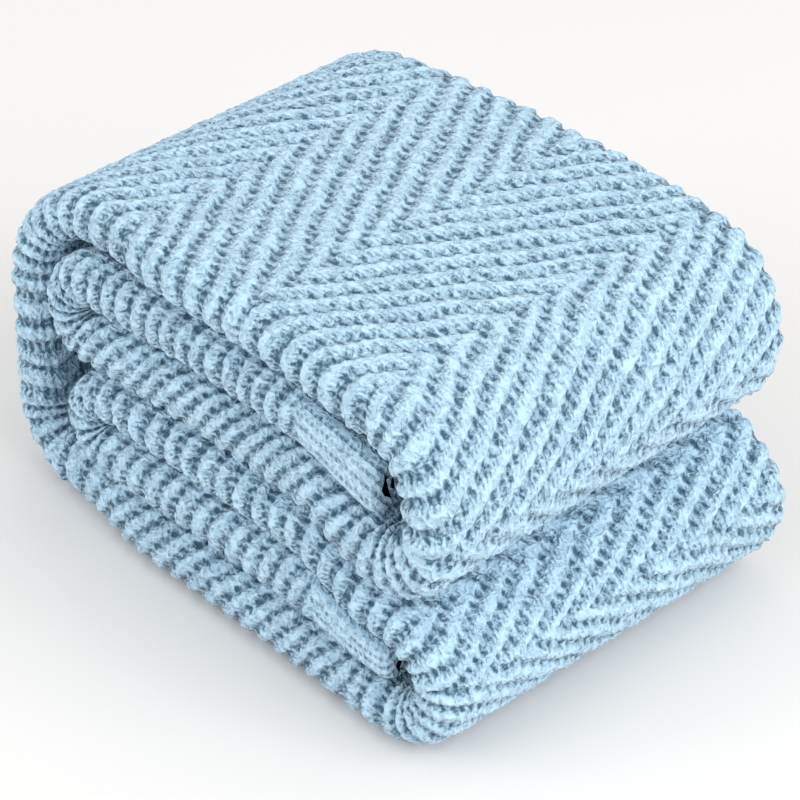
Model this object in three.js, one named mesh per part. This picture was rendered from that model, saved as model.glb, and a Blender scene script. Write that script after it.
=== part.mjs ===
// Knit throw blanket, folded into a thick pad of six passes.
// The throw is first folded lengthwise into a flat strand, six thicknesses of the knit high,
// then folded back and forth: four inner passes, a top pass, a wrap down the back end and a
// bottom pass, with both short ends tucked inside the two rolled folds of the front end.
// Units are millimetres. X runs along the passes, Y across them, Z is up.
// The origin is the middle of the footprint, on the surface that the throw rests on.

import * as THREE from 'three';
import { mergeVertices } from 'three/addons/utils/BufferGeometryUtils.js';

// The folded pad
const padLength = 315;
const padWidth = 215;
const passPitch = 30.5;

// The strand: how far its outer and inner face stand off its middle line
const outerHalf = 14.9;
const innerHalf = 14.2;

// The knit: a rib is four needles wide along the throw, and climbs one row of stitches
// per needle, so the ribs slant; every 24 needles the slant turns and makes a chevron.
// The first turn is measured from the end of the throw that lies in the upper roll.
const needlePitch = 3.5;
const rowPitch = 5.05;
const needlesPerRib = 4;
const needlesPerBand = 24;
const firstTurn = 54;
const ribHeight = 1.5;
const edgeRibHeight = 1.3;

// The folds
const bulbRadius = passPitch / 2;
const rollRadius = passPitch;
const wrapTopRadius = 52;
const wrapBottomRadius = 42;
const upperRollInset = 8;
const upperBulbInset = 34;
const lowerBulbInset = 35;
const upperHemReach = 3;
const lowerHemReach = 5;
const borderLength = 56;
const borderStep = 1.2;

// How the pad leans: the hidden long side stands higher, the near side draws in
// towards the wrapped end, and the wrap's own edge lies further in.
const hiddenSideRise = 0.035;
const nearSideDraw = 10;
const wrapDraw = 11;
const wrapDrawLead = 70;
const topCrown = 4;

// Facets
const halfRib = needlePitch * needlesPerRib / 2;
const panelStep = rowPitch * needlesPerRib / 2;
const ribFade = halfRib * 3;
const nearNoseFacets = 4;
const farNoseFacets = 3;

const halfLength = padLength / 2;
const halfWidth = padWidth / 2;
const wrapX = -halfLength + outerHalf;
const lowerRollX = halfLength - outerHalf - rollRadius;
const upperRollX = lowerRollX - upperRollInset;
const upperBulbX = -halfLength + upperBulbInset + outerHalf + bulbRadius;
const lowerBulbX = -halfLength + lowerBulbInset + outerHalf + bulbRadius;
const stackRise = passPitch * 5;
const wrapDrop = stackRise - wrapTopRadius - wrapBottomRadius;

// One row for each straight run and the fold at its end. Every fold turns the same way.
const folds = [
  { pass: 'second', run: upperRollX + upperHemReach - upperBulbX, radius: bulbRadius, turn: Math.PI },
  { pass: 'third', run: upperRollX - upperBulbX, radius: rollRadius, turn: Math.PI },
  { pass: 'top', run: upperRollX - wrapX - wrapTopRadius, radius: wrapTopRadius, turn: Math.PI / 2 },
  { pass: 'wrap', run: wrapDrop, radius: wrapBottomRadius, turn: Math.PI / 2 },
  { pass: 'bottom', run: lowerRollX - wrapX - wrapBottomRadius, radius: rollRadius, turn: Math.PI },
  { pass: 'fourth', run: lowerRollX - lowerBulbX, radius: bulbRadius, turn: Math.PI },
  { pass: 'fifth', run: lowerRollX + lowerHemReach - lowerBulbX, radius: 0, turn: 0 },
];

// Walks the folds and keeps, for each run and each turn, where it starts along the
// strand's outer face, its length there, and its start point and heading.
function layOutFolds() {
  const pieces = [];
  let x = upperRollX + upperHemReach;
  let z = outerHalf + passPitch * 4;
  let heading = Math.PI;
  let along = 0;
  for (const fold of folds) {
    pieces.push({ pass: fold.pass, kind: 'run', start: along, length: fold.run, x, z, heading });
    x += Math.cos(heading) * fold.run;
    z += Math.sin(heading) * fold.run;
    along += fold.run;
    if (fold.turn > 0) {
      const length = (fold.radius + outerHalf) * fold.turn;
      const centreX = x - Math.sin(heading) * fold.radius;
      const centreZ = z + Math.cos(heading) * fold.radius;
      pieces.push({
        pass: fold.pass, kind: 'turn', start: along, length, x: centreX, z: centreZ,
        heading, radius: fold.radius, turn: fold.turn,
      });
      heading += fold.turn;
      x = centreX + Math.sin(heading) * fold.radius;
      z = centreZ - Math.cos(heading) * fold.radius;
      along += length;
    }
  }
  return { pieces, total: along };
}

const layout = layOutFolds();
const strandLength = layout.total;

function pieceOf(pass, kind) {
  return layout.pieces.find((piece) => piece.pass === pass && piece.kind === kind);
}

const wrapStart = pieceOf('top', 'turn').start;
const wrapEnd = pieceOf('bottom', 'run').start;
const panelStart = pieceOf('third', 'turn').start;
const panelEnd = wrapEnd;
const lowerPanelStart = pieceOf('bottom', 'turn').start;
const lowerPanelEnd = pieceOf('fourth', 'run').start;

// The strand's middle line at a distance along its outer face, and the outward normal there.
function strandFrame(along) {
  const last = layout.pieces[layout.pieces.length - 1];
  const piece = layout.pieces.find((one) => along <= one.start + one.length) ?? last;
  const into = along - piece.start;
  if (piece.kind === 'run') {
    const normalX = Math.sin(piece.heading);
    const normalZ = -Math.cos(piece.heading);
    const x = piece.x + Math.cos(piece.heading) * into;
    const z = piece.z + Math.sin(piece.heading) * into;
    return { x, z, normalX, normalZ };
  }
  const heading = piece.heading + into / (piece.radius + outerHalf);
  const normalX = Math.sin(heading);
  const normalZ = -Math.cos(heading);
  return { x: piece.x + normalX * piece.radius, z: piece.z + normalZ * piece.radius, normalX, normalZ };
}

function smoothStep(from, to, value) {
  const t = Math.min(Math.max((value - from) / (to - from), 0), 1);
  return t * t * (3 - 2 * t);
}

// Puts a point of the strand in the pad: off is its height over the middle line,
// side its place across the strand.
function placePoint(along, side, off) {
  const frame = strandFrame(along);
  const x = frame.x + frame.normalX * off;
  const flatZ = frame.z + frame.normalZ * off;
  const towardNear = 0.5 - side / padWidth;
  const wrapping = smoothStep(wrapStart - wrapDrawLead, wrapStart, along)
    * (1 - smoothStep(wrapEnd, wrapEnd + wrapDrawLead, along));
  const draw = nearSideDraw * (0.5 - x / padLength) + wrapDraw * wrapping;
  const y = side + draw * towardNear;
  const rise = 1 + hiddenSideRise * (side / padWidth + 0.5);
  const crown = topCrown * smoothStep(0, stackRise, flatZ) * (1 - (x / halfLength) ** 2);
  return new THREE.Vector3(x, y, Math.max(flatZ * rise + crown, 0));
}

function inBorder(along) {
  return along < borderLength || along > strandLength - borderLength;
}

// The outer face is ribbed where it shows: on the rolled folds, the top and the wrap.
function ribbing(along) {
  const upper = smoothStep(panelStart, panelStart + ribFade, along)
    * (1 - smoothStep(panelEnd - ribFade, panelEnd, along));
  const lower = smoothStep(lowerPanelStart, lowerPanelStart + ribFade, along)
    * (1 - smoothStep(lowerPanelEnd - ribFade, lowerPanelEnd, along));
  return Math.max(upper, lower);
}

const panelCount = Math.round((padWidth - 2 * outerHalf) / panelStep);

// One cross-section of the strand as two noses and two faces, each a list of points that
// runs the same way round. Crests and valleys of the ribs alternate from point to point.
function crossSection(index, along) {
  const parity = index % 2 === 0 ? 1 : -1;
  const plain = inBorder(along);
  const shrink = plain ? borderStep : 0;
  const outer = outerHalf - shrink;
  const inner = innerHalf - shrink;
  const reach = halfWidth - outerHalf;
  const nose = (direction, facets) => {
    const points = [];
    for (let k = 0; k <= facets; k += 1) {
      const angle = Math.PI * k / facets;
      const bump = plain ? 0 : parity * edgeRibHeight * Math.sin(angle);
      const half = Math.cos(angle) > 0 ? outer : inner;
      const off = Math.cos(angle) * half;
      const side = direction * (reach + Math.sin(angle) * (outer + bump));
      points.push(placePoint(along, side, off));
    }
    return points;
  };
  const amount = ribbing(along);
  const panel = [];
  if (amount > 0) {
    for (let k = 1; k < panelCount; k += 1) {
      const side = reach - 2 * reach * k / panelCount;
      const crest = (index + k) % 2 === 0 ? 1 : -1;
      panel.push(placePoint(along, side, outerHalf + crest * ribHeight * amount));
    }
  }
  return {
    near: nose(-1, nearNoseFacets),
    far: nose(1, farNoseFacets).reverse(),
    panel,
  };
}

// Collects triangles; points are shared later by merging.
class Skin {
  constructor() {
    this.positions = [];
  }

  triangle(a, b, c) {
    this.positions.push(a.x, a.y, a.z, b.x, b.y, b.z, c.x, c.y, c.z);
  }

  // Joins two rows of equal length; slant picks the diagonal of each facet.
  strip(rowA, rowB, slant) {
    for (let k = 0; k + 1 < rowA.length; k += 1) {
      if (slant) {
        this.triangle(rowA[k], rowB[k], rowB[k + 1]);
        this.triangle(rowA[k], rowB[k + 1], rowA[k + 1]);
      } else {
        this.triangle(rowA[k], rowB[k], rowA[k + 1]);
        this.triangle(rowA[k + 1], rowB[k], rowB[k + 1]);
      }
    }
  }

  // Joins a row to a row that has only its two ends.
  fan(rowA, rowB) {
    if (rowA.length === 2) {
      const middle = Math.floor(rowB.length / 2);
      for (let k = 0; k + 1 < rowB.length; k += 1) {
        this.triangle(k < middle ? rowA[0] : rowA[1], rowB[k], rowB[k + 1]);
      }
      this.triangle(rowA[0], rowB[middle], rowA[1]);
      return;
    }
    const middle = Math.floor(rowA.length / 2);
    for (let k = 0; k + 1 < rowA.length; k += 1) {
      this.triangle(rowA[k + 1], rowA[k], k < middle ? rowB[0] : rowB[1]);
    }
    this.triangle(rowA[middle], rowB[0], rowB[1]);
  }

  cap(ring, flip) {
    for (let k = 1; k + 1 < ring.length; k += 1) {
      if (flip) {
        this.triangle(ring[0], ring[k + 1], ring[k]);
      } else {
        this.triangle(ring[0], ring[k], ring[k + 1]);
      }
    }
  }

  geometry() {
    const raw = new THREE.BufferGeometry();
    raw.setAttribute('position', new THREE.Float32BufferAttribute(this.positions, 3));
    return mergeVertices(raw, 1e-4);
  }
}

function outerFace(section) {
  const ends = [section.far[section.far.length - 1], section.near[0]];
  return [ends[0], ...section.panel, ends[1]];
}

function innerFace(section) {
  return [section.near[section.near.length - 1], section.far[0]];
}

function sectionRing(section) {
  return [...section.far, ...section.panel, ...section.near];
}

// Whether the ribs at this section lean towards the hidden side as they near the front end.
function chevronSlant(index) {
  const band = Math.floor((index * halfRib - firstTurn) / (needlesPerBand * needlePitch));
  return band % 2 !== 0;
}

// The whole strand as one closed skin, from hem end to hem end.
function strandSkin() {
  const skin = new Skin();
  const count = Math.round(strandLength / halfRib);
  const sections = [];
  for (let index = 0; index <= count; index += 1) {
    const along = strandLength * index / count;
    if (!inBorder(along) || index === 0 || index === count) {
      sections.push({ slant: chevronSlant(index), ...crossSection(index, along) });
    }
  }
  for (let k = 0; k + 1 < sections.length; k += 1) {
    const here = sections[k];
    const next = sections[k + 1];
    const slant = here.slant;
    skin.strip(here.near, next.near, slant);
    skin.strip(here.far, next.far, slant);
    skin.strip(innerFace(here), innerFace(next), true);
    const faceHere = outerFace(here);
    const faceNext = outerFace(next);
    if (faceHere.length === faceNext.length) {
      skin.strip(faceHere, faceNext, slant);
    } else {
      skin.fan(faceHere, faceNext);
    }
  }
  skin.cap(sectionRing(sections[0]), false);
  skin.cap(sectionRing(sections.at(-1)), true);
  return skin.geometry();
}

const yarn = new THREE.MeshStandardMaterial({ color: 0xa3cbe4, roughness: 0.95, metalness: 0 });

const throwGeometry = strandSkin();
throwGeometry.computeVertexNormals();
throwGeometry.computeBoundingBox();
const middle = throwGeometry.boundingBox.getCenter(new THREE.Vector3());
throwGeometry.translate(-middle.x, -middle.y, -throwGeometry.boundingBox.min.z);
const throwCloth = new THREE.Mesh(throwGeometry, yarn);
throwCloth.name = 'throw_cloth';

const group = new THREE.Group();
group.add(throwCloth);

export default group;
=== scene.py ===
import math

import bmesh
import bpy
import numpy as np
from mathutils import Matrix, Vector, noise


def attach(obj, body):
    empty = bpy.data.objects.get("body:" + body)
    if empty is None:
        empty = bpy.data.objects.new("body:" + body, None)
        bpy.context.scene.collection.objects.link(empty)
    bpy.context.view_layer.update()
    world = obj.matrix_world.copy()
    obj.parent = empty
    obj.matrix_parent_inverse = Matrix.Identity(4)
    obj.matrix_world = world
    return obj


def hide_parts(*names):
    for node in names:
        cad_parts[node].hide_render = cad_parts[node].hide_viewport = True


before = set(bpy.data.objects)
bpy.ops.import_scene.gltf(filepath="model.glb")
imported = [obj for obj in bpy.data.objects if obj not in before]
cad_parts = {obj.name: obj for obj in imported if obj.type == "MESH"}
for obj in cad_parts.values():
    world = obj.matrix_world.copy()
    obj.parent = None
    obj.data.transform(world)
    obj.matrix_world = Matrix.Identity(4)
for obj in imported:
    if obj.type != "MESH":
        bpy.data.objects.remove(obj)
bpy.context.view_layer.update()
print("frame: loaded")


# 0 at low and 1 at high, smooth between them; low may be the larger of the two
def smoothStep(low, high, value):
    t = np.clip((value - low) / (high - low), 0, 1)
    return t * t * (3 - 2 * t)


# The throw. Its long strand lies along x, side is the place across the strand from the near
# side (-) to the hidden side (+), and off is the height over the strand's middle line.
throwCloth = {
    # The folded pad
    "padLength": 332.7,  # before the front end is pressed in
    "padWidth": 215,
    "passPitch": 30.5,
    "outerHalf": 14.9,  # middle line to the outer face
    "innerHalf": 14.2,  # middle line to the inner face
    "bulbRadius": 15.25,  # turns at the back ends of the two rolls
    "rollRadius": 30.5,  # turns at the front end
    "wrapTopRadius": 52,
    "wrapBottomRadius": 27.3,
    "upperRollInset": 9.7,  # upper roll's turn, back from the lower one's
    "upperBulbInset": 39,
    "lowerBulbInset": 51,
    "upperHemReach": 3,  # hem ends, past the centres of their rolls
    "lowerHemReach": 4,
    # How it has settled
    "frontSquash": 13.5,
    "squashZone": (0, 150),  # x where it starts and is full
    "hiddenSideRise": 0.031,
    "hiddenSideReach": 14.4,
    "nearSideDraw": 13.6,  # near side drawn in, most at the back end
    "wrapDraw": 8.5,
    "wrapDrawLead": 70,
    "topCrown": 14.9,
    "settledHeight": 0.893,
    "nearZone": (-60, -100),  # side where the near edges start to lie unevenly
    "frontZone": (50, 110),  # x where the front end's sag takes over
    "frontSag": 14.3,
    "sagShares": (0.7, 0.3),  # of the sag, in the middle and towards the near side
    "sagZones": ((25, 85), (160, 85)),  # heights where it fades in and out
    # The leaves inside the strand
    "leafHalf": 4.6,  # half of a strip of two leaves
    "slitHalf": 0.35,
    "freeEdgeInset": 0.5,
    "slitStop": 2,
    # The mesh: stations lie along the strand, and a stride is the stations from row to row
    "stations": 1392,
    "hiddenStride": 12,
    "farStride": 2,
    "nearNoseSteps": 24,
    "farNoseSteps": 8,
    "foldNoseSteps": 4,
    "innerNoseSteps": 6,
    "innerFarSteps": 3,
    "slitFarSteps": 4,
    "panelSteps": 96,
    # The knit
    "ribClimb": 21.5,  # way across in which a slanted rib moves on by one rib
    "stitchRow": 5.37,
    "rowSkew": 50,  # way along in which the rows move on by one row
    "lipFade": 7,
    "foldFade": 6,
    "valleyEdges": (0.05, -0.7),
    "ribDepth": 1.1,
    "crownDepth": 0.6,
    "pitDepth": 0.8,
    "knobHeight": 0.4,
    "knobSlant": 0.5,
    "lumpSize": 5,
    "lumpHeight": 0.9,
    "lumpSink": 0.5,
    "lumpSeed": 3.0,
    "ribWander": 0.22,  # in ribs
    "wanderSize": 22,
    "wanderSeed": 7.0,
    # The plain borders at the hem ends
    "borderStations": 40,
    "borderHalf": 11.5,
    "borderBulge": 11.5,
    "borderSquare": 0.5,  # 1 is round, and less is squarer
    "endRounding": 5,  # in stations
    "endInset": 4,
    "endThinning": 0.25,
    # Painted shade around the holes where the rolls turn round the hem ends, making them look
    # darker and larger
    "holeShadeFade": (1.3, 0.6),
}

# Height of the joints between the fold edges on the near side, and how far they lie off
nearShifts = [(0, 0), (27.5, 3.7), (55, 4.4), (82.6, -1.6), (110, 0), (183, 0)]
# First station and stride of the outer face's rows: dense where the face shows
faceRows = [
    (0, 48), (144, 6), (211, 47), (352, 1), (670, 2), (776, 50), (926, 1),
    (1029, 48), (1174, 6), (1243, 50),
]
# Station and rib number where the ribs' slant turns or their pitch changes
ribKnots = [
    (0, 0.64), (143, 20.2), (211, 27.03), (352, 45.3), (399, 50), (459, 44), (519, 50),
    (579, 44), (639, 50), (699, 44), (759, 50), (774, 48.5), (926, 65.7), (999, 73),
    (1028, 70.1), (1175, 87.1), (1242, 93.9), (1392, 112.4),
]
# Station and lean of the ribs on the near fold edge, in ribs per millimetre
leanKnots = [
    (0, 0), (143, 0), (211, 0.058), (340, 0.058), (360, 0), (774, 0), (800, 0.054),
    (910, 0.054), (930, 0), (1020, 0), (1040, -0.01), (1175, -0.01), (1242, 0.024),
    (1392, 0.024),
]
# Middle and reach of the painted shade around the holes in the rolls, in x and in height
holeShadeSpots = [(118, 115, 10, 9), (127, 41, 9, 10)]

# Rows of the path where the wrap's top turn starts and where its bottom turn has ended
wrapTurn, wrapEndRun = 5, 8
# Groups of the section where an end cap turns: the lower fold, the slit and the slit's end
foldGroup, slitGroup, slitEndGroup = 4, 8, 11


# Start, point, heading and radius of each run and turn, from the end in the upper roll
def strandPath(t):
    halfLength = t["padLength"] / 2
    outer = t["outerHalf"]
    lowerRollX = halfLength - outer - t["rollRadius"]
    upperRollX = lowerRollX - t["upperRollInset"]
    bulbShift = outer + t["bulbRadius"] - halfLength
    upperBulbX = t["upperBulbInset"] + bulbShift
    lowerBulbX = t["lowerBulbInset"] + bulbShift
    wrapX = outer - halfLength
    top, bottom = t["wrapTopRadius"], t["wrapBottomRadius"]
    bulb, roll = t["bulbRadius"], t["rollRadius"]
    folds = [
        (upperRollX + t["upperHemReach"] - upperBulbX, bulb, math.pi),
        (upperRollX - upperBulbX, roll, math.pi),
        (upperRollX - wrapX - top, top, math.pi / 2),
        (5 * t["passPitch"] - top - bottom, bottom, math.pi / 2),
        (lowerRollX - wrapX - bottom, roll, math.pi),
        (lowerRollX - lowerBulbX, bulb, math.pi),
        (lowerRollX + t["lowerHemReach"] - lowerBulbX, 0, 0),
    ]
    x, z = folds[0][0] + upperBulbX, outer + 4 * t["passPitch"]
    heading, along, pieces = math.pi, 0.0, []
    for run, radius, turn in folds:
        pieces.append((along, x, z, heading, 0.0))
        x += math.cos(heading) * run
        z += math.sin(heading) * run
        along += run
        if turn:
            x -= math.sin(heading) * radius
            z += math.cos(heading) * radius
            pieces.append((along, x, z, heading, radius))
            along += (radius + outer) * turn
            heading += turn
            x += math.sin(heading) * radius
            z -= math.cos(heading) * radius
    return np.array(pieces), along


# Middle line point and outward normal at each distance along the outer face
def pathFrame(t, path, along):
    index = np.clip(np.searchsorted(path[:, 0], along, side="right") - 1, 0, len(path) - 1)
    start, x, z, heading, radius = path[index].T
    run = along - start
    angle = heading + np.where(radius > 0, run / (radius + t["outerHalf"]), 0)
    normalX, normalZ = np.sin(angle), -np.cos(angle)
    straight = np.where(radius > 0, 0, run)
    x = x + np.cos(heading) * straight + normalX * radius
    z = z + np.sin(heading) * straight + normalZ * radius
    return x, z, normalX, normalZ


# Points of the strand in the settled pad
def placePoints(t, path, along, side, off):
    x, z, normalX, normalZ = pathFrame(t, path, along)
    x = x + normalX * off
    flatZ = z + normalZ * off
    wrapStart, wrapEnd, lead = path[wrapTurn, 0], path[wrapEndRun, 0], t["wrapDrawLead"]
    wrapping = smoothStep(wrapStart - lead, wrapStart, along)
    wrapping = wrapping * (1 - smoothStep(wrapEnd, wrapEnd + lead, along))
    draw = t["nearSideDraw"] * (0.5 - x / t["padLength"]) + t["wrapDraw"] * wrapping
    y = side + draw * (0.5 - side / t["padWidth"])
    y = y + t["hiddenSideReach"] * np.clip(2 * side / t["padWidth"], 0, 1)
    high = smoothStep(0, 5 * t["passPitch"], flatZ)
    crown = t["topCrown"] * high * (1 - (2 * x / t["padLength"]) ** 2)
    rise = 1 + t["hiddenSideRise"] * (side / t["padWidth"] + 0.5)
    z = (flatZ * rise + crown) * t["settledHeight"]
    near = smoothStep(*t["nearZone"], side)
    front = smoothStep(*t["frontZone"], x)
    z = z + np.interp(z, *np.array(nearShifts).T) * near * (1 - front)
    middleShare, nearShare = t["sagShares"]
    sag = t["frontSag"] * (middleShare - nearShare * 2 * side / t["padWidth"])
    fadeIn, fadeOut = t["sagZones"]
    z = z - sag * front * smoothStep(*fadeIn, z) * smoothStep(*fadeOut, z)
    x = x - t["frontSquash"] * smoothStep(*t["squashZone"], x)
    return np.stack([x, y, np.maximum(z, 0)], axis=-1)


# Spots on an arc of the section; angles are in degrees from +side towards +off
def arcSpots(side, off, radius, start, end, steps, roundAt=0, roundStep=0):
    spots = []
    for i in range(steps + 1):
        angle = math.radians(start + (end - start) * i / steps)
        outSide, outOff = math.cos(angle), math.sin(angle)
        spots.append((side + radius * outSide, off + radius * outOff,
                      outSide, outOff, roundAt + roundStep * i))
    return spots


# The strand's section, as groups of spots and the stride of their rows. Two leaves make one
# strip with a slit in its middle, and the strip is folded in three. A spot is
# (side, off, out side, out off, distance round the section).
def sectionSpots(t):
    half, slit = t["leafHalf"], t["slitHalf"]
    reach = t["padWidth"] / 2 - t["outerHalf"]
    face, under = t["outerHalf"], -t["innerHalf"]
    noseOff, noseRadius = (face + under) / 2, (face - under) / 2
    farOff, farRadius = (face - half + noseOff) / 2, (face - half - noseOff) / 2
    lowLeaf, free = under + half, -reach + t["freeEdgeInset"]
    noseStep = -math.pi * noseRadius / t["nearNoseSteps"]
    farStep = -math.pi * (farRadius + half) / t["farNoseSteps"]
    foldStep = math.pi * half / t["foldNoseSteps"]
    hidden, far, panel = t["hiddenStride"], t["farStride"], t["panelSteps"]
    inner, innerFar, slitFar = t["innerNoseSteps"], t["innerFarSteps"], t["slitFarSteps"]
    return [
        ([(free, noseOff - half, 0, -1, 0)], hidden),
        (arcSpots(reach, farOff, farRadius + half, -90, 90, t["farNoseSteps"],
                  reach - farStep * t["farNoseSteps"], farStep), far),
        ([(reach * (1 - 2 * i / panel), face, 0, 1, reach * (1 - 2 * i / panel))
          for i in range(1, panel)], 0),
        (arcSpots(-reach, noseOff, noseRadius, 90, 270, t["nearNoseSteps"],
                  -reach, noseStep), 1),
        (arcSpots(reach, lowLeaf, half, -90, 90, t["foldNoseSteps"], reach, foldStep), far),
        (arcSpots(-reach, noseOff, noseRadius - 2 * half, 270, 90, inner), hidden),
        (arcSpots(reach, farOff, farRadius - half, 90, -90, innerFar), hidden),
        ([(free, noseOff + half, 0, 1, 0)], hidden),
        ([(free, noseOff + slit, 0, 0, 0)], hidden),
        (arcSpots(reach, farOff, farRadius - slit, -90, 90, slitFar), hidden),
        (arcSpots(-reach, noseOff, noseRadius - half - slit, 90, 270, inner), hidden),
        ([(reach - t["slitStop"], lowLeaf, 0, 0, 0)], hidden),
        (arcSpots(-reach, noseOff, noseRadius - half + slit, 270, 90, inner), hidden),
        (arcSpots(reach, farOff, farRadius + slit, 90, -90, slitFar), hidden),
        ([(free, noseOff - slit, 0, 0, 0)], hidden),
    ]


def faceStations(t):
    rows = [*faceRows, (t["stations"], 1)]
    kept = [k for (start, stride), (end, _) in zip(rows, rows[1:])
            for k in range(start, end, stride)]
    return [*kept, t["stations"]]


# Triangles between two chains of (place, point number)
def fillBetween(first, second):
    faces, i, j = [], 0, 0
    while i < len(first) - 1 or j < len(second) - 1:
        ahead = j == len(second) - 1
        if i < len(first) - 1 and not ahead:
            ahead = first[i][0] + first[i + 1][0] <= second[j][0] + second[j + 1][0]
        if ahead:
            faces.append((first[i][1], first[i + 1][1], second[j][1]))
            i += 1
        else:
            faces.append((first[i][1], second[j + 1][1], second[j][1]))
            j += 1
    return faces


# Chain of points of an end cap, each with its distance along the chain
def chainLengths(points, chain):
    spots = np.array([points[n][1:3] for n in chain])
    lengths = np.cumsum(np.linalg.norm(np.diff(spots, axis=0), axis=1))
    return list(zip([0.0, *lengths], chain))


# Points (station and spot) and triangles of the whole closed strand, and its first cap face
def strandMesh(t):
    points, columns, starts = [], [], []
    rows = faceStations(t)
    for spots, stride in sectionSpots(t):
        starts.append(len(columns))
        for spot in spots:
            places = range(0, t["stations"] + 1, stride) if stride else rows
            columns.append([(k, len(points) + n) for n, k in enumerate(places)])
            points.extend((k, *spot) for k in places)
    faces = []
    for one, other in zip(columns, columns[1:] + columns[:1]):
        faces += fillBetween(one, other)
    foldMiddle = (starts[foldGroup] + starts[foldGroup + 1]) // 2
    slit, slitEnd = starts[slitGroup], starts[slitEndGroup]
    capStart = len(faces)
    for end in (0, -1):
        ring = [column[end][1] for column in columns]
        sides = (ring[:foldMiddle + 1], ring[:slitEnd - 1:-1])
        others = (ring[foldMiddle:slit][::-1], ring[slit:slitEnd + 1])
        for outer, inner in (sides, others):
            faces += fillBetween(chainLengths(points, outer), chainLengths(points, inner))
    return np.array(points), faces, capStart


# Smooth noise from -1 to 1 over the cloth, with features of a size
def lumps(placeAlong, placeRound, size, seed):
    spots = zip(placeAlong / size, placeRound / size)
    return np.array([noise.noise(Vector((a, b, seed))) for a, b in spots])


# Rib number, stitch row and border share of each point
def knitPattern(t, station, along, roundAt):
    reach = t["padWidth"] / 2 - t["outerHalf"]
    past = np.maximum(np.abs(roundAt) - reach, 0)
    lip, fade = t["lipFade"], t["foldFade"]
    slant = np.clip(roundAt, -reach, reach) + np.sign(roundAt) * lip * (1 - np.exp(-past / lip))
    middle = -reach - math.pi * (t["outerHalf"] + t["innerHalf"]) / 4
    lean = np.interp(station, *np.array(leanKnots).T)
    onNose = smoothStep(-reach + fade, -reach - fade, roundAt)
    rib = np.interp(station, *np.array(ribKnots).T) + slant / t["ribClimb"]
    rib = rib + lean * (roundAt - middle) * onNose
    rib = rib + t["ribWander"] * lumps(along, roundAt, t["wanderSize"], t["wanderSeed"])
    row = (roundAt + reach) / t["stitchRow"] + along / t["rowSkew"]
    fromEnd = np.minimum(station, t["stations"] - station)
    border = 1 - smoothStep(t["borderStations"] - 1, t["borderStations"] + 1, fromEnd)
    return rib, row, border


# Relief of the ribs, the pits between them and the knobs of their stitches
def knitHeight(t, rib, row, border):
    wave = np.cos(2 * np.pi * rib)
    valley = smoothStep(*t["valleyEdges"], wave)
    pit = 0.5 + 0.5 * np.cos(2 * np.pi * row)
    height = -t["ribDepth"] * valley - t["crownDepth"] * (1 - wave) / 2
    height = height - t["pitDepth"] * valley * pit
    fromRib = (rib + 0.5) % 1 - 0.5
    knob = np.cos(2 * np.pi * (row + 0.5 + t["knobSlant"] * fromRib))
    height = height + t["knobHeight"] * knob * (1 - valley)
    return height * (1 - border)


# The plain border's fold is flatter and thinner than the ribbed one, and its end is rounded
def squareBorder(t, station, border, side, off, outSide, outOff):
    noseOff = (t["outerHalf"] - t["innerHalf"]) / 2
    reach = t["padWidth"] / 2 - t["outerHalf"]
    thin = 2 * t["borderHalf"] / (t["outerHalf"] + t["innerHalf"])
    flatOff = noseOff + (off - noseOff) * thin
    nose = (side < -reach) & (np.hypot(outSide, outOff) > 0.5)
    nose = nose & (np.hypot(side + reach, off - noseOff) > t["borderHalf"])
    square = t["borderSquare"]
    bulge = -reach - t["borderBulge"] * np.abs(outSide) ** square
    boxOff = noseOff + t["borderHalf"] * np.sign(outOff) * np.abs(outOff) ** square
    flatSide = np.where(nose, bulge, side)
    flatOff = np.where(nose, boxOff, flatOff)
    fromEnd = np.minimum(station, t["stations"] - station) / t["endRounding"]
    inset = 1 - np.sqrt(1 - np.clip(1 - fromEnd, 0, 1) ** 2)
    flatSide = flatSide + np.where(side < -reach, t["endInset"] * inset, 0)
    flatOff = noseOff + (flatOff - noseOff) * (1 - t["endThinning"] * inset)
    return side + (flatSide - side) * border, off + (flatOff - off) * border


# Share of painted shade each point gets around the near side's holes, from 0 to 1
def holeShadeShare(t, placed, border):
    holeShade = np.zeros(len(placed))
    onSide = (placed[:, 1] < 0) * (1 - border)
    for x, z, reachX, reachZ in holeShadeSpots:
        away = np.hypot((placed[:, 0] - x) / reachX, (placed[:, 2] - z) / reachZ)
        holeShade = np.maximum(holeShade, smoothStep(*t["holeShadeFade"], away) * onSide)
    return holeShade


def meshObject(name, points, faces):
    mesh = bpy.data.meshes.new(name)
    mesh.from_pydata(points.tolist(), [], faces)
    piece = bpy.data.objects.new(name, mesh)
    bpy.context.collection.objects.link(piece)
    shape = bmesh.new()
    shape.from_mesh(mesh)
    bmesh.ops.recalc_face_normals(shape, faces=shape.faces)
    if shape.calc_volume(signed=True) < 0:
        bmesh.ops.reverse_faces(shape, faces=shape.faces)
    shape.to_mesh(mesh)
    shape.free()
    mesh.shade_smooth()
    return piece


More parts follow.
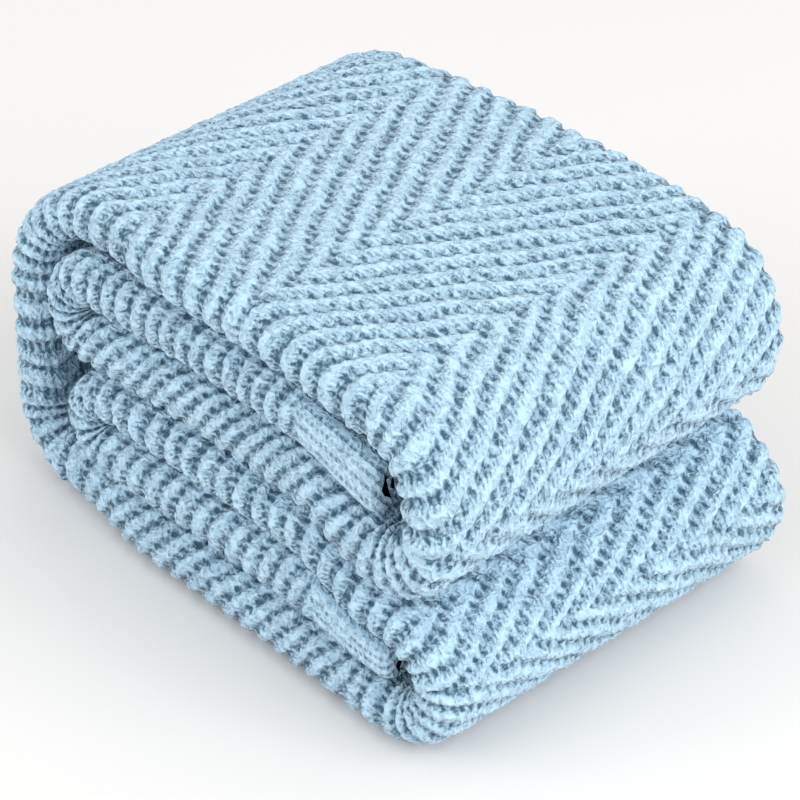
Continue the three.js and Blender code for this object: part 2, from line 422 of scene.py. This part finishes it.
def buildThrow(t):
    path, length = strandPath(t)
    points, faces, capStart = strandMesh(t)
    station, side, off, outSide, outOff, roundAt = points.T
    along = station / t["stations"] * length
    rib, row, border = knitPattern(t, station, along, roundAt)
    uneven = lumps(along, roundAt, t["lumpSize"], t["lumpSeed"]) - t["lumpSink"]
    height = knitHeight(t, rib, row, border) + t["lumpHeight"] * uneven
    shows = np.hypot(outSide, outOff) > 0.5
    shows &= (roundAt != 0) | (off == t["outerHalf"])
    height = np.where(shows, height, 0)
    side = side + outSide * height
    off = off + outOff * height
    side, off = squareBorder(t, station, border, side, off, outSide, outOff)
    placed = placePoints(t, path, along, side, off)
    low, high = placed.min(axis=0), placed.max(axis=0)
    placed -= [(low[0] + high[0]) / 2, (low[1] + high[1]) / 2, low[2]]
    piece = meshObject("throwCloth", placed / 1000, faces)
    for face in piece.data.polygons[capStart:]:
        face.use_smooth = False
    reach = t["padWidth"] / 2 - t["outerHalf"]
    # What the yarn's material reads at each point
    numbers = {
        "rib": rib,
        "row": row,
        "border": border,
        "wale": side + off,
        "fold": smoothStep(reach - t["foldFade"], reach + t["foldFade"], np.abs(roundAt)),
        # painted shade around the holes of the rolls
        "holeShade": holeShadeShare(t, placed, border),
    }
    for name, values in numbers.items():
        piece.data.attributes.new(name, "FLOAT", "POINT").data.foreach_set("value", values)
    return piece


# Linear colour of an sRGB hex text
def linearColour(hexText):
    parts = [int(hexText[i:i + 2], 16) / 255 for i in (0, 2, 4)]
    return [p / 12.92 if p <= 0.04045 else ((p + 0.055) / 1.055) ** 2.4 for p in parts] + [1]


# A node with its settings; an input that is a socket is linked, and any other is set
def addNode(tree, kind, inputs=None, **settings):
    node = tree.nodes.new(kind)
    for name, value in settings.items():
        setattr(node, name, value)
    for name, value in (inputs or {}).items():
        socket = node.inputs[name]
        if isinstance(value, bpy.types.NodeSocket):
            tree.links.new(value, socket)
        else:
            socket.default_value = value
    return node


def calculate(tree, operation, first, second=0.0, third=0.0):
    node = addNode(tree, "ShaderNodeMath", {0: first, 1: second, 2: third}, operation=operation)
    return node.outputs[0]


def plus(tree, first, second):
    return calculate(tree, "ADD", first, second)


def minus(tree, first, second):
    return calculate(tree, "SUBTRACT", first, second)


def times(tree, first, second):
    return calculate(tree, "MULTIPLY", first, second)


def timesPlus(tree, first, second, third):
    return calculate(tree, "MULTIPLY_ADD", first, second, third)


# Sum of (value, weight) pairs
def weightedSum(tree, pairs):
    total = 0.0
    for value, weight in pairs:
        total = timesPlus(tree, value, weight, total)
    return total


def smoothRange(tree, value, low, high, lowTo=0.0, highTo=1.0):
    inputs = {"Value": value, "From Min": low, "From Max": high, "To Min": lowTo, "To Max": highTo}
    node = addNode(tree, "ShaderNodeMapRange", inputs, interpolation_type="SMOOTHSTEP")
    return node.outputs[0]


# A number that the cloth's mesh carries
def numberOf(tree, name):
    return addNode(tree, "ShaderNodeAttribute", attribute_name=name).outputs["Fac"]


# Cosine with one wave for each whole number
def wave(tree, value):
    return calculate(tree, "COSINE", times(tree, value, 2 * math.pi))


# How far a shifted value lies from the middle between two whole numbers, from -0.5 to 0.5
def fromMiddle(tree, value, shift):
    return minus(tree, calculate(tree, "FRACT", plus(tree, value, shift)), 0.5)


# Knitted yarn: light blue acrylic in a chunky chevron rib. Rib and row numbers come from the
# mesh, shades are shares of the way to the shade colour, which paints shade into the pits,
# valleys, nicks, grooves and gaps of the knit, and edges are where a mark starts and where it is
# full.
yarn = {
    "colour": "B8DAEF",
    # painted shade colour for the knit's pits, valleys and gaps
    "shade": "224E68",
    "shadeRange": (0.05, 1.35),
    "deepestShade": 0.95,
    "roughness": 0.9,
    "specular": 0.2,
    "sheen": 0.2,
    "sheenRoughness": 0.5,
    "bump": 0.8,
    "wanderSize": 4,
    "wanderDetail": 2.0,
    "ribWander": 0.18,
    "rowWander": 0.45,
    # Valleys between the ribs, their pits, and the rungs of yarn that cross them; the rungs are
    # only painted shade
    "valleyRagged": 1.6,
    "valleyEdges": (0.1, -0.7),
    "valleyShade": 0.03,
    "pitAcross": 0.25,  # in ribs
    "pitAlong": 0.36,  # in rows
    "pitRagged": 1.0,
    "pitEdges": (1.5, 0.15),
    "pitDepth": 1.0,
    "pitShade": 0.66,
    "rungsPerRow": 2.0,
    "rungRagged": 2.0,
    "rungEdges": (0.0, 0.8),
    "rungShade": 0.13,
    # Stitches on the ribs, and the nicks between them on one flank
    "stitchDepth": 0.25,
    "stitchSlant": 0.6,
    "nicksPerRow": 2.0,
    "nickPlace": -0.22,
    "nickWidth": (0.17, 0.05),
    "nickSlant": 1.6,
    "nickRagged": 1.8,
    "nickEdges": (0.2, 0.9),
    "nickDepth": 0.6,
    "nickShade": 0.32,
    # Loops and fibres of the yarn
    "loopSize": 4.8,
    "loopDetail": 0.6,
    "loopRoughness": 0.5,
    "loopDistortion": 0.6,
    "loopEdges": (0.16, 0.0),
    "loopDepth": 1.0,
    "loopShade": 0.42,
    "fibreSize": 2.0,
    "fibreDetail": 1.6,
    "fibreRoughness": 0.6,
    "fibreEdges": (0.55, 0.3),
    "fibreDepth": 0.7,
    "fibreShade": 0.35,
    # Changes on the fold edges, with more painted shade in their valleys and between loops, and
    # painted shade around the holes of the rolls
    "foldPits": 0.85,
    "foldValleyShade": 0.22,
    "foldLoopShade": 0.03,
    "hollowShade": 1.2,
    # Fine ribs of the plain borders
    "borderWale": 6.2,
    "borderRagged": 1.5,
    "borderEdges": (-0.2, -0.9),
    "borderDash": 3.2,
    "dashShare": 0.35,
    "borderLoops": 0.8,
    "borderDepth": 1.1,
    "borderShade": 0.45,
}


# Rib and row numbers, each led a little astray
def wanderingNumbers(tree, y, place):
    stray = addNode(tree, "ShaderNodeTexNoise", {
        "Vector": place, "Scale": 1000 / y["wanderSize"], "Detail": y["wanderDetail"]})
    stray = addNode(tree, "ShaderNodeSeparateColor", {"Color": stray.outputs["Color"]}).outputs
    rib = plus(tree, numberOf(tree, "rib"), times(tree, minus(tree, stray[0], 0.5), y["ribWander"]))
    row = plus(tree, numberOf(tree, "row"), times(tree, minus(tree, stray[1], 0.5), y["rowWander"]))
    return rib, row


# Marks of the ribbed knit: valleys, pits, rungs, stitches and nicks
def knitMarks(tree, y, place, rough, knit, fold):
    rib, row = wanderingNumbers(tree, y, place)
    ribSide = fromMiddle(tree, rib, 0.5)
    valley = timesPlus(tree, rough, y["valleyRagged"], wave(tree, rib))
    valley = times(tree, smoothRange(tree, valley, *y["valleyEdges"]), knit)

    across = calculate(tree, "DIVIDE", fromMiddle(tree, rib, 0.0), y["pitAcross"])
    down = calculate(tree, "DIVIDE", fromMiddle(tree, row, 0.5), y["pitAlong"])
    away = timesPlus(tree, across, across, times(tree, down, down))
    away = timesPlus(tree, rough, y["pitRagged"], calculate(tree, "SQRT", away))
    pit = times(tree, smoothRange(tree, away, *y["pitEdges"]), knit)
    pit = times(tree, pit, timesPlus(tree, fold, y["foldPits"] - 1, 1.0))

    # Rungs: painted shade in the valleys, twice a row
    paintedRungShade = wave(tree, times(tree, row, y["rungsPerRow"]))
    paintedRungShade = smoothRange(tree, timesPlus(tree, rough, y["rungRagged"], paintedRungShade), *y["rungEdges"])

    leaning = timesPlus(tree, ribSide, y["stitchSlant"], plus(tree, row, 0.5))
    stitch = times(tree, wave(tree, leaning), minus(tree, 1.0, valley))

    nick = timesPlus(tree, ribSide, y["nickSlant"], times(tree, row, y["nicksPerRow"]))
    nick = timesPlus(tree, rough, y["nickRagged"], wave(tree, nick))
    flank = calculate(tree, "ABSOLUTE", plus(tree, ribSide, -y["nickPlace"]))
    flank = smoothRange(tree, flank, *y["nickWidth"])
    nick = times(tree, smoothRange(tree, nick, *y["nickEdges"]), flank)
    return {
        "valley": valley,
        "pit": pit,
        "paintedRungShade": times(tree, paintedRungShade, valley),
        "stitch": times(tree, stitch, knit),
        "nick": times(tree, nick, knit),
    }


# Dashed grooves between the fine ribs of the borders
def borderGroove(tree, y, place, rough, border):
    wale = calculate(tree, "DIVIDE", numberOf(tree, "wale"), y["borderWale"])
    groove = timesPlus(tree, rough, y["borderRagged"], wave(tree, wale))
    groove = times(tree, smoothRange(tree, groove, *y["borderEdges"]), border)
    length = addNode(tree, "ShaderNodeSeparateXYZ", {"Vector": place}).outputs["X"]
    dash = wave(tree, times(tree, length, 1000 / y["borderDash"]))
    return times(tree, groove, timesPlus(tree, dash, y["dashShare"], 1 - y["dashShare"]))


# Winding lines of yarn; the gaps between them get painted shade
def yarnLoops(tree, y, place, border):
    loop = addNode(tree, "ShaderNodeTexNoise", {
        "Vector": place, "Scale": 1000 / y["loopSize"], "Detail": y["loopDetail"],
        "Roughness": y["loopRoughness"], "Distortion": y["loopDistortion"]}).outputs["Fac"]
    loop = calculate(tree, "ABSOLUTE", minus(tree, loop, 0.5))
    loop = smoothRange(tree, loop, *y["loopEdges"])
    return times(tree, loop, timesPlus(tree, border, y["borderLoops"] - 1, 1.0))


def yarnMaterial(y):
    material = bpy.data.materials.new("knittedYarn")
    material.use_nodes = True
    tree = material.node_tree
    tree.nodes.clear()

    place = addNode(tree, "ShaderNodeTexCoord").outputs["Object"]
    border, fold, holeShade = (numberOf(tree, n) for n in ("border", "fold", "holeShade"))
    fibre = addNode(tree, "ShaderNodeTexNoise", {
        "Vector": place, "Scale": 1000 / y["fibreSize"], "Detail": y["fibreDetail"],
        "Roughness": y["fibreRoughness"]}).outputs["Fac"]
    rough = minus(tree, fibre, 0.5)
    marks = knitMarks(tree, y, place, rough, minus(tree, 1.0, border), fold)
    groove = borderGroove(tree, y, place, rough, border)
    loop = yarnLoops(tree, y, place, border)

    height = weightedSum(tree, [
        (marks["pit"], -y["pitDepth"]),
        (marks["nick"], -y["nickDepth"]),
        (marks["stitch"], y["stitchDepth"]),
        (groove, -y["borderDepth"]),
        (loop, y["loopDepth"]),
        (fibre, y["fibreDepth"]),
    ])
    bump = addNode(tree, "ShaderNodeBump", {
        "Height": times(tree, height, 1 / 1000), "Distance": 1.0, "Strength": y["bump"]})

    # Painted shade: the knit's pits, valleys, rungs, nicks, border grooves, the gaps between loops
    # and fibres and the holes of the rolls are darkened towards the shade colour
    shade = weightedSum(tree, [
        (marks["valley"], y["valleyShade"]),
        (marks["pit"], y["pitShade"]),
        (times(tree, marks["valley"], fold), y["foldValleyShade"]),
        (holeShade, y["hollowShade"]),
        (marks["nick"], y["nickShade"]),
        (marks["paintedRungShade"], y["rungShade"]),
        (groove, y["borderShade"]),
        (minus(tree, 1.0, loop), timesPlus(tree, fold, y["foldLoopShade"], y["loopShade"])),
        (smoothRange(tree, fibre, *y["fibreEdges"]), y["fibreShade"]),
    ])
    shade = smoothRange(tree, shade, *y["shadeRange"], 0.0, y["deepestShade"])
    colour = addNode(tree, "ShaderNodeMix", {
        "Factor": shade, 6: linearColour(y["colour"]), 7: linearColour(y["shade"])},
        data_type="RGBA", clamp_factor=True)
    shader = addNode(tree, "ShaderNodeBsdfPrincipled", {
        "Base Color": colour.outputs[2], "Roughness": y["roughness"],
        "Specular IOR Level": y["specular"], "Sheen Weight": y["sheen"],
        "Sheen Roughness": y["sheenRoughness"], "Normal": bump.outputs[0]})
    addNode(tree, "ShaderNodeOutputMaterial", {"Surface": shader.outputs[0]})
    return material


# The studio is in metres: each lamp has its place, size and power, and looks at the throw
studio = {
    "floorSize": 12,
    "floorColour": "E7E5E3",
    "floorRoughness": 0.8,
    "worldColour": "FFFFFF",
    "worldStrength": 0.85,
    "lamps": [
        ("keyLamp", (2.3, 0.2, 1.6), 2.6, 51),
        ("fillLamp", (-0.8, -2.2, 1.4), 2.0, 24),
    ],
}


# Pale floor: matt, slightly warm white paper
def floorMaterial(s):
    material = bpy.data.materials.new("paleFloor")
    material.use_nodes = True
    shader = material.node_tree.nodes["Principled BSDF"]
    shader.inputs["Base Color"].default_value = linearColour(s["floorColour"])
    shader.inputs["Roughness"].default_value = s["floorRoughness"]
    return material


def buildStudio(s):
    half = s["floorSize"] / 2
    mesh = bpy.data.meshes.new("floor")
    corners = [(-half, -half, 0), (half, -half, 0), (half, half, 0), (-half, half, 0)]
    mesh.from_pydata(corners, [], [(0, 1, 2, 3)])
    floor = bpy.data.objects.new("floor", mesh)
    bpy.context.collection.objects.link(floor)
    mesh.materials.append(floorMaterial(s))
    for name, place, size, power in s["lamps"]:
        light = bpy.data.lights.new(name, "AREA")
        light.shape, light.size, light.energy = "DISK", size, power
        lamp = bpy.data.objects.new(name, light)
        bpy.context.collection.objects.link(lamp)
        lamp.location = place
        lamp.rotation_euler = (-Vector(place)).to_track_quat("-Z", "Y").to_euler()
    world = bpy.data.worlds.new("studio")
    world.use_nodes = True
    back = world.node_tree.nodes["Background"]
    back.inputs["Color"].default_value = linearColour(s["worldColour"])
    back.inputs["Strength"].default_value = s["worldStrength"]
    bpy.context.scene.world = world
    bpy.context.scene.view_settings.view_transform = "Standard"


# The photo's view: metres and degrees, with the azimuth turned from the front (-Y) to the +X
# side
photoCamera = {
    "place": (0.90341, -0.87147, 0.89914),
    "azimuth": 45.534,
    "elevation": 33.432,
    "roll": 0.777,
    "lens": 147.87,
    "clip": (0.05, 50),
}


def buildCamera(c):
    azimuth, elevation = math.radians(c["azimuth"]), math.radians(c["elevation"])
    back = Vector((math.sin(azimuth) * math.cos(elevation),
                   -math.cos(azimuth) * math.cos(elevation), math.sin(elevation)))
    right = Vector((math.cos(azimuth), math.sin(azimuth), 0))
    right = Matrix.Rotation(math.radians(c["roll"]), 3, back) @ right
    up = back.cross(right)
    data = bpy.data.cameras.new("photoCamera")
    data.lens = c["lens"]
    data.clip_start, data.clip_end = c["clip"]
    camera = bpy.data.objects.new("photoCamera", data)
    bpy.context.collection.objects.link(camera)
    pose = Matrix((right, up, back)).transposed().to_4x4()
    pose.translation = Vector(c["place"])
    camera.matrix_world = pose
    bpy.context.scene.camera = camera


cloth = buildThrow(throwCloth)
cloth.data.materials.append(yarnMaterial(yarn))
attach(cloth, "root")
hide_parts("throw_cloth")
print("throw:", len(cloth.data.polygons), "triangles")

buildStudio(studio)
print("studio: floor and", len(studio["lamps"]), "lamps")

buildCamera(photoCamera)
print("camera: set")
